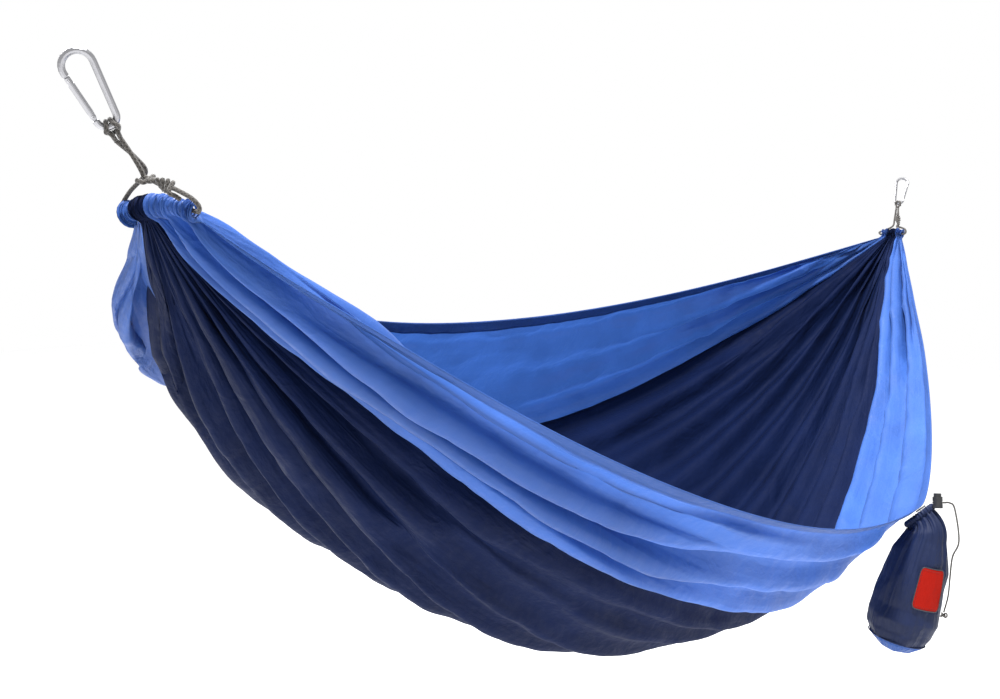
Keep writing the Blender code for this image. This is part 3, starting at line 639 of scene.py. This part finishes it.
def mark_gathered(mesh, rows, columns):
    """Stores how near each point is to a gather, which the cloth's creases follow."""
    away = np.minimum(np.arange(rows), np.arange(rows)[::-1]) * FLAT_LENGTH / ROWS
    values = np.repeat(0.12 + 0.88 * np.exp(-away / 0.55), columns)
    layer = mesh.attributes.new("gathered", "FLOAT", "POINT")
    layer.data.foreach_set("value", values.astype(np.float32))


def strip(name, centre, profile, slot):
    """A closed flat band on the cloth: columns of centre, out by half its thickness on each side,
    times the profile's share at each column."""
    normals = surface_normals(centre)
    lift = normals * (BAND_HALF_THICKNESS * profile[None, :, None])
    loop = np.concatenate([centre + lift, (centre - lift)[:, ::-1]], axis=1)
    mesh = grid_mesh(name, loop, closed=True, capped=True, uv=strip_places(loop))
    mark_gathered(mesh, loop.shape[0], loop.shape[1])
    add_piece(name, mesh, slot, "hammock")


def strip_places(loop):
    """Each point's place on the band in metres, with its columns about 4 mm apart."""
    rows, columns = loop.shape[:2]
    across = np.broadcast_to(np.arange(columns) * 0.004, (rows, columns))
    along = np.broadcast_to((np.arange(rows) * FLAT_LENGTH / ROWS)[:, None], (rows, columns))
    return np.stack([across, along], axis=-1)


def stitches(name, line, normals, lift, slot, body="hammock"):
    """Lock stitches along a line on both faces of the cloth, as small beads of thread."""
    lengths = np.concatenate([[0], np.cumsum(np.linalg.norm(np.diff(line, axis=0), axis=1))])
    count = int(lengths[-1] / STITCH)
    at = (np.arange(count) + 0.5) * STITCH
    place = np.stack([np.interp(at, lengths, line[:, k]) for k in range(3)], axis=1)
    up = unit(np.stack([np.interp(at, lengths, normals[:, k]) for k in range(3)], axis=1))
    ahead = unit(np.gradient(place, axis=0))
    side = np.cross(ahead, up)
    points = []
    for face in (1, -1):
        middle = place + up * lift * face
        bead = [-ahead * STITCH * 0.4, side * STITCH_RADIUS, up * STITCH_RADIUS * face,
                -side * STITCH_RADIUS, -up * STITCH_RADIUS * face, ahead * STITCH * 0.4]
        points.append(np.stack([middle + arm for arm in bead], axis=1))
    points = np.concatenate(points).reshape(-1, 3)
    faces = []
    bead_faces = ((0, 2, 1), (0, 3, 2), (0, 4, 3), (0, 1, 4), (5, 1, 2), (5, 2, 3), (5, 3, 4), (5, 4, 1))
    for k in range(len(points) // 6):
        faces += [tuple(6 * k + corner for corner in face) for face in bead_faces]
    mesh = bpy.data.meshes.new(name)
    mesh.from_pydata(points.tolist(), [], faces)
    add_piece(name, mesh, slot, body)


def panels():
    """The three panels, their hems and seams, and the stitching."""
    cloth = hung_cloth()
    head_wrap = wrapped_rows(HEAD, cloth[0], -1)[::-1]
    foot_wrap = wrapped_rows(FOOT, cloth[-1], 1)
    cloth = np.concatenate([head_wrap, cloth, foot_wrap])
    rows = len(cloth)
    last = COLUMNS - 1
    seams = BACK_SEAM * last, FRONT_SEAM * last
    cuts = (("back", 0, seams[0], "side_nylon", "back_side_panel"),
            ("centre", seams[0], seams[1], "centre_nylon", "centre_panel"),
            ("front", seams[1], last, "side_nylon", "front_side_panel"))
    for part, start, stop, slot, node in cuts:
        name, count = f"{part}_panel_cloth", PANEL_COLUMNS[part]
        at = np.linspace(start, stop, count)
        mesh = grid_mesh(name, resampled(cloth, at), uv=flat_places(at, rows))
        mark_gathered(mesh, rows, count)
        panel = add_piece(name, mesh, slot, "hammock")
        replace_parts(panel, node)
    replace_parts(bpy.data.objects["front_panel_cloth"], "head_rope_channel", "foot_rope_channel")
    bands(cloth, seams)


def bands(cloth, seams):
    """The hems along the free edges, the seams between the panels, and their stitching."""
    last = COLUMNS - 1
    flat = FLAT_WIDTH / last
    for name, edge, inward in (("back_hem", 0, 1), ("front_hem", last, -1)):
        at = np.linspace(edge, edge + inward * HEM_WIDTH / flat, 7)
        band = resampled(cloth, at[::inward])
        strip(name, band, HEM_PROFILE[::inward], "side_nylon")
        inner = band[:, -2 if inward > 0 else 1]
        stitches(f"{name}_stitches", inner, surface_normals(band)[:, 3], BAND_STITCH_LIFT, "side_nylon")
    for name, at_seam in (("back_seam", seams[0]), ("front_seam", seams[1])):
        half = SEAM_WIDTH / 2 / flat
        band = resampled(cloth, np.linspace(at_seam - half, at_seam + half, 7))
        strip(name, band, SEAM_PROFILE, "centre_nylon")
        for side, column in (("back", 1), ("front", 5)):
            stitches(f"{name}_{side}_stitches", band[:, column], surface_normals(band)[:, 3],
                     BAND_STITCH_LIFT, "centre_nylon")


# --- Ropes and carabiners --------------------------------------------------------------------

def rope_tube(name, line, radius, body, slot, sides=12, step=0.0012, capped=True):
    """A braided rope along a line, with its places along and round it for the braid."""
    line = evenly(np.asarray(line, float), step)
    rings = rings_round(line, radius, sides)
    rings = np.concatenate([rings, rings[:, :1]], axis=1)
    round_it = np.broadcast_to(np.arange(sides + 1) / sides * math.pi * 2 * radius, rings.shape[:2])
    along = np.broadcast_to((np.arange(len(line)) * step)[:, None], rings.shape[:2])
    mesh = welded(grid_mesh(name, rings, uv=np.stack([round_it, along], axis=-1), capped=capped))
    return add_piece(name, mesh, slot, body)


def welded(mesh):
    """The mesh with its doubled seam points made one."""
    shape = bmesh.new()
    shape.from_mesh(mesh)
    bmesh.ops.remove_doubles(shape, verts=shape.verts, dist=1e-7)
    shape.to_mesh(mesh)
    shape.free()
    mesh.shade_smooth()
    return mesh


def helix_round(line, radius, pitch):
    """A line wound round another one."""
    step = 0.0004
    line = evenly(np.asarray(line, float), step)
    ahead = unit(np.gradient(line, axis=0))
    turns = np.arange(len(line)) * step / pitch * 2 * math.pi
    first = np.array(Vector(ahead[0]).orthogonal().normalized())
    points = []
    for point, forward, turn in zip(line, ahead, turns):
        side = unit(first - forward * first.dot(forward))
        other = np.cross(forward, side)
        points.append(point + radius * (side * math.cos(turn) + other * math.sin(turn)))
    return np.array(points)


def rope_route(end):
    """The rope from the hitch through the knot, the channel and back, on the CAD's route."""
    start = end.swing - end.pull * 0.0040
    spread = end.across * 0.0027 * (1 if end.across.dot(end.front) > 0 else -1)
    channel = list(end.channel(np.arange(0, 181, 10)))
    mouth = (end.centre[0] + end.width, end.centre[1])
    back = end.centre[0] - end.width
    knot_end = end.place(mouth[0] - 0.014, mouth[1] + 0.028)
    along_knot = end.pull * math.sin(end.knot_lean) - end.front * math.cos(end.knot_lean)
    knot_start = knot_end + along_knot * KNOT_LENGTH
    turn = ((0.0055, 0.0160), (0.0108, 0.006), (0.0062, -0.0008))
    into_mouth = [end.place(mouth[0] + out, mouth[1] + up) for out, up in turn]
    out_of_back = [end.place(back - out, mouth[1] + up) for out, up in turn[:0:-1]]
    in_knot = [knot_start + (knot_end - knot_start) * share for share in (-0.16, 0.0, 0.5, 1.0, 1.14)]
    to_knot = [start + (in_knot[0] - start) * share + spread * (1 - share**3)
               for share in (0.0, 0.4, 0.7, 0.88)]
    beside_knot = ((back + 0.004, mouth[1] + 0.020, 0.010), (-0.0075, 0.015, 0.0150),
                   (-0.006, 0.034, 0.0125))
    to_start = [*out_of_back, *(end.place(*spot) for spot in beside_knot), start - spread]
    route = [*to_knot, *in_knot, *into_mouth, *channel, *to_start]
    return catmull_rom(route, 8), knot_start, knot_end


def suspension(end):
    """The rope loop and the barrel knot that joins it."""
    route, knot_start, knot_end = rope_route(end)
    rope = rope_tube(f"{end.name}_rope_look", route, ROPE_RADIUS, "hammock", "rope")
    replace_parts(rope, f"{end.name}_rope")
    core = np.linspace(knot_start, knot_end, 9)
    wraps = helix_round(core, ROPE_RADIUS * 2.45, ROPE_RADIUS * 2.08)
    ahead = unit(knot_end - knot_start)
    out_first = unit(wraps[0] - core[0])
    out_last = unit(wraps[-1] - core[-1])
    first_end = [wraps[0] - ahead * 0.0095 + out_first * 0.0015,
                 wraps[0] - ahead * 0.0045 + out_first * 0.001]
    last_end = [wraps[-1] + ahead * 0.0045 + out_last * 0.001,
                wraps[-1] + ahead * 0.0105 + out_last * 0.0025]
    line = catmull_rom([*first_end, *wraps[::6], *last_end], 4)
    knot = rope_tube(f"{end.name}_knot_look", line, ROPE_RADIUS, "hammock", "rope", sides=10, step=0.001)
    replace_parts(knot, f"{end.name}_rope_knot")


def hitch(end):
    """The rope's lark's-head over the carabiner's narrow bend: two turns and the bar that joins
    them, and the two strands leaving under the bar."""
    across = end.across * (1 if end.across.dot(end.front) > 0 else -1)
    inner = end.swing - end.pull * SWING_AXIS  # the wire's outer end
    bend_centre = inner + end.pull * (WIRE + NARROW_BEND)
    out = np.cross(end.pull, across)
    loops = []
    for sign in (1, -1):
        tilt = sign * 0.42
        radial = -end.pull * math.cos(tilt) + across * math.sin(tilt)
        wire_at = bend_centre + radial * NARROW_BEND
        turns = np.linspace(-0.35, 2 * math.pi - 0.75, 26)[:, None]
        ring = wire_at + (WIRE + ROPE_RADIUS * 0.92) * (radial * np.cos(turns) + out * np.sin(turns))
        loops.append(ring + across * sign * 0.0010 * turns / 6)
    bar_bow = inner - end.pull * (ROPE_RADIUS * 2.0) + out * 0.0062
    leave = [end.swing - end.pull * 0.0030 + across * sign * 0.0027 for sign in (1, -1)]
    under_bar = [inner - end.pull * 0.0035 + across * sign * 0.0036 - out * 0.0028 for sign in (1, -1)]
    first, second = loops
    line = [leave[0], under_bar[0], *first[::3][1:], bar_bow, *second[::-3][:-1], under_bar[1], leave[1]]
    strands = rope_tube(f"{end.name}_hitch_look", catmull_rom(line, 6), ROPE_RADIUS,
                        f"{end.name}_carabiner", "rope", sides=10, step=0.001)
    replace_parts(strands, f"{end.name}_hitch")


# --- The sack --------------------------------------------------------------------------------

PANEL_SLOPE, PANEL_OUT = np.array((0, 0.743, -0.669)), np.array((0, -0.669, -0.743))
HEM_MIDDLE = hung_surface(np.array((1.0,)), np.array((0.0,)))[0, 0]
MOUTH = HEM_MIDDLE + PANEL_SLOPE * 0.012 + PANEL_OUT * 0.0112 + np.array((-0.004, 0, 0))
MOUTH_HALF_SIZE = (0.0150, 0.0270)
HEM_RADIUS, HEM_OPENING = 0.0062, math.radians(24)
SACK_DOWN = unit(np.array((-0.08, 0.22, -0.97)))
SACK_NECK, SACK_BEND = 0.009, 0.030
SACK_PROFILE = np.array((
    (0.0072, 0.0270), (0.018, 0.0305), (0.034, 0.0360), (0.055, 0.0425), (0.080, 0.0485),
    (0.115, 0.0545), (0.155, 0.0590), (0.190, 0.0605), (0.217, 0.0570), (0.236, 0.0465),
    (0.249, 0.0300), (0.255, 0.0120),
))
MOUTH_FLATNESS, SACK_FLATNESS = 0.60, 0.92
SACK_TOP, BASE_SEAM, SACK_BOTTOM = 0.0015, 0.231, 0.2552  # the CAD's base seam is at 0.217
MOUTH_PLEATS, PLEAT_HEIGHT, DENT_HEIGHT = 17, 0.0024, 0.0065
# The patch: the CAD's faces 231 degrees, and is a little wider
LABEL_DEPTHS, LABEL_FACING, LABEL_HALF_ANGLE = (0.085, 0.158), math.radians(224), 0.44
LABEL_CORNER = 0.30
CORD_RADIUS, TAILS_APART = 0.0015, 0.0022
LOCK_DIRECTION = unit(np.array((0.25, -0.93, 0.05)))
TAIL_FACING = unit(np.array((-0.15, -0.99, 0)))
SACK_SIDES, SACK_GIRTH = 160, 0.36
SACK_ANGLES = 2 * np.pi * np.arange(SACK_SIDES) / SACK_SIDES


def sack_axis(depth):
    """The sack's centre and its downward direction at a depth along it."""
    bent = min(max(depth - SACK_NECK, 0), SACK_BEND)
    share = bent / SACK_BEND
    down = unit(PANEL_OUT * (1 - share) + SACK_DOWN * share)
    straight, turned_by = min(depth, SACK_NECK), bent * bent / (2 * SACK_BEND)
    below = depth - straight - bent
    return MOUTH + PANEL_OUT * (straight + bent - turned_by) + SACK_DOWN * (turned_by + below), down


def sack_ring(depth, radii, angles):
    """Points round the sack: angle 0 faces the foot end, and 270 degrees the front."""
    centre, down = sack_axis(depth)
    other = unit(np.cross((1.0, 0.0, 0.0), down))
    side = np.cross(down, other)
    flatness = MOUTH_FLATNESS + (SACK_FLATNESS - MOUTH_FLATNESS) * min(depth / SACK_BEND, 1)
    return centre + radii[:, None] * (
        np.cos(angles)[:, None] * side * flatness + np.sin(angles)[:, None] * other)


def sack_radius(depth):
    return np.interp(depth, SACK_PROFILE[:, 0], SACK_PROFILE[:, 1])


def ring_noise(count, bumps, rng):
    """A smooth random line that meets itself."""
    noise = smooth_noise(count + 1, bumps, rng)
    fade = np.linspace(0, 1, count + 1)
    return (noise + (noise[0] - noise[-1]) * fade)[:-1]


def sewn_piece(name, rings, places, slot, node):
    """A closed nylon piece of the sack, from rings of points and their two places on the cloth."""
    rings = np.concatenate([rings, rings[:, :1]], axis=1)
    mesh = welded(grid_mesh(name, rings, uv=np.stack(places, axis=-1), capped=True))
    mark_gathered(mesh, 1, len(mesh.vertices))
    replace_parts(add_piece(name, mesh, slot, "stuff_sack"), node)


def sack_shell(name, depths, slot, node, soft):
    """A wrinkled shell over depths of the sack: pleats run from its mouth, and the sides dent, by
    a share of soft."""
    rng = np.random.default_rng(11)
    pleats = np.sin(MOUTH_PLEATS * SACK_ANGLES + 1.6 * ring_noise(SACK_SIDES, 9, rng))
    pleats += ring_noise(SACK_SIDES, 23, rng)
    dents = [(ring_noise(SACK_SIDES, 6, rng), ring_noise(SACK_SIDES, 13, rng)) for _ in range(7)]
    rows = []
    for depth in depths:
        gathered = math.exp(-max(depth - 0.008, 0) / 0.035)
        spot = depth / 0.255 * (len(dents) - 1)
        low = min(int(spot), len(dents) - 2)
        wide, fine = (a * (1 - spot + low) + b * (spot - low)
                      for a, b in zip(dents[low], dents[low + 1]))
        crease = 0.25 - np.abs(wide) * 1.2 + 0.35 * fine
        relief = PLEAT_HEIGHT * gathered * pleats + DENT_HEIGHT * (1 - gathered) * crease
        rows.append(sack_ring(depth, sack_radius(depth) + soft * relief, SACK_ANGLES))
    across = np.arange(SACK_SIDES + 1) / SACK_SIDES * SACK_GIRTH
    sewn_piece(name, np.array(rows), np.meshgrid(across, depths), slot, node)


def base_seam():
    """The raised sewn seam round the sack above its base."""
    line = sack_ring(BASE_SEAM, np.full(SACK_SIDES, sack_radius(BASE_SEAM) + 0.0004), SACK_ANGLES)
    line = np.concatenate([line, line[:1]])
    rope_tube("sack_base_seam", line, 0.0011, "stuff_sack", "sack_nylon", sides=8, step=0.002,
              capped=False)


def sack_label():
    """A plain woven patch with rounded corners, sewn on round its border."""
    count = 33
    u, v = np.meshgrid(np.linspace(-1, 1, count), np.linspace(-1, 1, count))
    near = np.clip((np.abs(v) - (1 - LABEL_CORNER)) / LABEL_CORNER, 0, 1)
    squeezed = u * (1 - LABEL_CORNER * 0.8 * (1 - np.sqrt(np.clip(1 - near**2, 0, 1))))
    layers = []
    for lift in (0.0008, 0.0024):
        rows = []
        for i in range(count):
            depth = np.interp(v[i, 0], (-1, 1), LABEL_DEPTHS)
            angles = LABEL_FACING + LABEL_HALF_ANGLE * squeezed[i]
            edge = np.minimum(1 - np.abs(u[i]), 1 - abs(v[i, 0]))
            border = 0.0006 * (np.exp(-((edge - 0.10) / 0.05) ** 2)) * (lift > 0.001)
            rows.append(sack_ring(depth, sack_radius(depth) + lift + border, angles))
        layers.append(np.array(rows))
    inner, outer = layers
    loop = np.concatenate([outer, inner[:, ::-1]], axis=1)
    places = np.stack([
        np.broadcast_to(np.arange(loop.shape[1]) * 0.0016, loop.shape[:2]),
        np.broadcast_to((np.arange(loop.shape[0]) * 0.0022)[:, None], loop.shape[:2])], axis=-1)
    mesh = grid_mesh("sack_label_look", loop, closed=True, uv=places, capped=True)
    patch = add_piece("sack_label_look", mesh, "label", "stuff_sack")
    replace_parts(patch, "sack_label")
    ring = np.concatenate([outer[2, 2:-2], outer[2:-2, -3], outer[-3, -3:1:-1], outer[-3:1:-1, 2]])
    out = unit(ring - np.array([sack_axis(0.12)[0]]))
    stitches("label_stitches", ring, out, 0.0006, "webbing", "stuff_sack")
    border = np.concatenate([outer[0, :], outer[1:, -1], outer[-1, -2::-1], outer[-2::-1, 0]])
    rope_tube("label_border", border, 0.0010, "stuff_sack", "webbing", sides=8, step=0.0015,
              capped=False)


def sack_mouth():
    """The gathered hem that the drawcord runs through."""
    turns = HEM_OPENING + (2 * math.pi - 2 * HEM_OPENING) * np.linspace(0, 1, 41)
    line = np.array([MOUTH + np.array((MOUTH_HALF_SIZE[0] * math.sin(a), 0, 0))
                     - PANEL_SLOPE * MOUTH_HALF_SIZE[1] * math.cos(a) for a in turns])
    step, ruffle_length = 0.0006, 0.0052
    line = evenly(line, step)
    count, sides = len(line), 24
    rng = np.random.default_rng(5)
    ruffle = 1 + 0.14 * np.sin(np.arange(count) * step / ruffle_length * 2 * np.pi
                               + 1.5 * smooth_noise(count, 12, rng))
    edge = 2 * np.pi * np.arange(sides) / sides
    shape = 1 + 0.10 * np.sin(3 * edge)[None] * smooth_noise(count, 30, rng)[:, None]
    rings = rings_round(line, (HEM_RADIUS - 0.0006) * ruffle[:, None] * shape, sides)
    along, round_it = np.meshgrid(np.arange(count) * step, np.arange(sides + 1) * 0.0016, indexing="ij")
    sewn_piece("sack_mouth_look", rings, (along, round_it), "sack_nylon", "sack_mouth_hem")


def beside_sack(depth, clear):
    """A point level with a depth of the sack, clear of its side, where the cord tails hang."""
    return sack_axis(depth)[0] + TAIL_FACING * (sack_radius(depth) + clear)


def drawcord_tails():
    """The drawcord's two free tails, and the knot that joins their ends."""
    lock_at = MOUTH - PANEL_SLOPE * (MOUTH_HALF_SIZE[1] + HEM_RADIUS + 0.0065)
    start = lock_at - LOCK_DIRECTION * 0.0088
    lines = {}
    for name, side in (("front", 1), ("back", -1)):
        apart = unit(np.cross(LOCK_DIRECTION, -PANEL_OUT)) * side * TAILS_APART
        knots = [start + apart + LOCK_DIRECTION * reach for reach in (0, 0.010, 0.020, 0.028)]
        knots.append(start + apart * 1.3 + LOCK_DIRECTION * 0.037 + np.array((0, 0, -0.010)))
        for depth, clear, wide in ((0.040, 0.020, 1.8), (0.070, 0.009, 2.2), (0.105, 0.008, 1.8),
                                   (0.140, 0.010, 1.2), (0.170, 0.0085, 0.9)):
            knots.append(beside_sack(depth, clear) + apart * wide)
        lines[name] = evenly(catmull_rom(knots, 6), 0.003)
    ends = [line[-1] for line in lines.values()]
    middle = (ends[0] + ends[1]) / 2 + np.array((0, 0, -0.0050))
    t = np.linspace(0, 2 * np.pi, 61)[:-6]
    trefoil = np.stack([np.sin(t) + 2 * np.sin(2 * t), np.cos(t) - 2 * np.cos(2 * t),
                        -1.5 * np.sin(3 * t)], axis=1)
    knot = rope_tube("drawcord_knot_look", middle + trefoil * 0.0019, CORD_RADIUS, "stuff_sack",
                     "drawcord", sides=10, step=0.0006)
    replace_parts(knot, "drawcord_knot")
    for name, line in lines.items():
        tail = rope_tube(f"drawcord_{name}_look", line, CORD_RADIUS, "stuff_sack", "drawcord",
                         sides=10, step=0.0008)
        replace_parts(tail, f"drawcord_tail_{name}")


def stuff_sack():
    """The sack with its base, seam, gathered mouth, patch and cords."""
    depths = np.linspace(SACK_TOP, BASE_SEAM, 90)
    sack_shell("stuff_sack_look", depths, "sack_nylon", "stuff_sack", soft=1.0)
    side, rounding = np.linspace(BASE_SEAM + 0.0006, 0.249, 26), np.linspace(0.2495, SACK_BOTTOM, 8)
    sack_shell("sack_base_look", np.concatenate([side, rounding]), "side_nylon", "sack_base", soft=0.5)
    base_seam()
    sack_mouth()
    sack_label()
    drawcord_tails()


# --- Putting it together -----------------------------------------------------------------------

for subpart in frame["record"]["subparts"]:
    slots = frame["nodes"][subpart["node"]].data.materials
    slots.clear()
    slots.append(LOOKS[subpart["material_slot"]])
for end in (HEAD, FOOT):
    suspension(end)
    hitch(end)
panels()
stuff_sack()


# --- Floor, light and camera -----------------------------------------------------------------

FLOOR_BELOW, FLOOR_HALF = 0.70, 14
# Each light's place, its size and its power in watts
LIGHTS = {"key": ((0.1, -0.8, 3.2), 0.5, 360), "back": ((1.6, 2.4, 1.9), 2.0, 230)}
LIGHTS_AIM = (1.2, 0, -0.5)
CAMERA_PLACE, CAMERA_YAW, CAMERA_PITCH = (-0.752, -1.028, -0.185), 0.6036, -0.0867
SENSOR_WIDTH, LENS = 36, 43.45


def studio():
    """A pale floor well below the hammock, white surroundings and two soft lights."""
    floor_z = CAD_BOX[0].z - FLOOR_BELOW
    places = np.linspace(-FLOOR_HALF, FLOOR_HALF, 3)
    rows = [[(x, y, floor_z) for y in places] for x in places]
    pale = Nodes("floor_look", (0.985, 0.985, 0.985), 0.9)
    floor = bpy.data.objects.new("floor", grid_mesh("floor", np.array(rows)))
    bpy.context.scene.collection.objects.link(floor)
    floor.data.materials.append(pale.material)
    world = bpy.data.worlds.new("studio")
    world.use_nodes = True
    world.node_tree.nodes["Background"].inputs["Color"].default_value = (1, 1, 1, 1)
    world.node_tree.nodes["Background"].inputs["Strength"].default_value = 1.0
    bpy.context.scene.world = world
    for name, (place, size, power) in LIGHTS.items():
        data = bpy.data.lights.new(name, "AREA")
        data.size, data.energy = size, power
        lamp = bpy.data.objects.new(name, data)
        lamp.location = place
        aim = Vector(LIGHTS_AIM) - Vector(place)
        lamp.rotation_euler = aim.to_track_quat("-Z", "Y").to_euler()
        bpy.context.scene.collection.objects.link(lamp)
    bpy.context.scene.view_settings.view_transform = "Standard"


def camera():
    """The camera: in front of the head end, looking along the hammock."""
    data = bpy.data.cameras.new("camera")
    data.sensor_width, data.lens = SENSOR_WIDTH, LENS
    obj = bpy.data.objects.new("camera", data)
    bpy.context.scene.collection.objects.link(obj)
    level = math.cos(CAMERA_PITCH)
    ahead = Vector((math.cos(CAMERA_YAW) * level, math.sin(CAMERA_YAW) * level, math.sin(CAMERA_PITCH)))
    obj.location = CAMERA_PLACE
    obj.rotation_euler = ahead.to_track_quat("-Z", "Y").to_euler()
    bpy.context.scene.camera = obj


studio()
camera()
